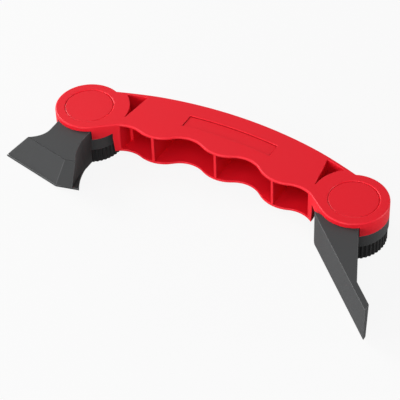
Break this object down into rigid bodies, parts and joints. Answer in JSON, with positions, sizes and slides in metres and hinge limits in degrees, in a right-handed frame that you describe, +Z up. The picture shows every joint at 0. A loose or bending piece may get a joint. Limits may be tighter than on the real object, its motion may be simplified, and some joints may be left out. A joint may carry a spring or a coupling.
{
  "type": "caulk scraper",
  "caption": "Hand tool with an arched finger grip and a keyed, knob-clamped scraper head under each round end: a wide skewed scraper and a pointed blade.",
  "frame": {"origin": "bottom centre of the whole outline, on the surface that the knobs stand on", "axes": "+X along the tool from the wide scraper to the pointed blade, +Y from the fingers to the arched back, +Z up through the flat face of the grip"},
  "size_m": [0.1612, 0.0656, 0.018],
  "materials": {
    "red_plastic": "satin",
    "grey_plastic": "satin",
    "black_plastic": "matt",
    "steel": "zinc plated",
    "brass": "turned"
  },
  "bodies": {
    "handle": {"handle": "red_plastic", "left_hub_cap": "red_plastic", "right_hub_cap": "red_plastic", "left_clamp_bolt": "steel", "right_clamp_bolt": "steel"},
    "wide_head": {"wide_scraper_head": "grey_plastic", "left_washer": "steel"},
    "pointed_head": {"pointed_scraper_head": "grey_plastic", "right_washer": "steel"},
    "left_knob": {"left_knob": "black_plastic", "left_knob_insert": "brass"},
    "right_knob": {"right_knob": "black_plastic", "right_knob_insert": "brass"}
  },
  "joints": [
    {"name": "left_head_drop", "type": "slide", "parent": "handle", "child": "wide_head", "axis": [0, 0, -1], "range_m": [0, 0.0036]},
    {"name": "left_knob_turn", "type": "hinge", "parent": "wide_head", "child": "left_knob", "pos_m": [-0.0565, 0.01223, 0.0025], "axis": [0, 0, -1], "range_deg": [0, 1620]},
    {"name": "right_head_drop", "type": "slide", "parent": "handle", "child": "pointed_head", "axis": [0, 0, -1], "range_m": [0, 0.0036]},
    {"name": "right_knob_turn", "type": "hinge", "parent": "pointed_head", "child": "right_knob", "pos_m": [0.0549, 0.01223, 0.0025], "axis": [0, 0, -1], "range_deg": [0, 1620]}
  ],
  "couplings": [
    {"joint": "left_head_drop", "follows": "left_knob_turn", "m_per_rad": 0.00012732},
    {"joint": "right_head_drop", "follows": "right_knob_turn", "m_per_rad": 0.00012732}
  ]
}
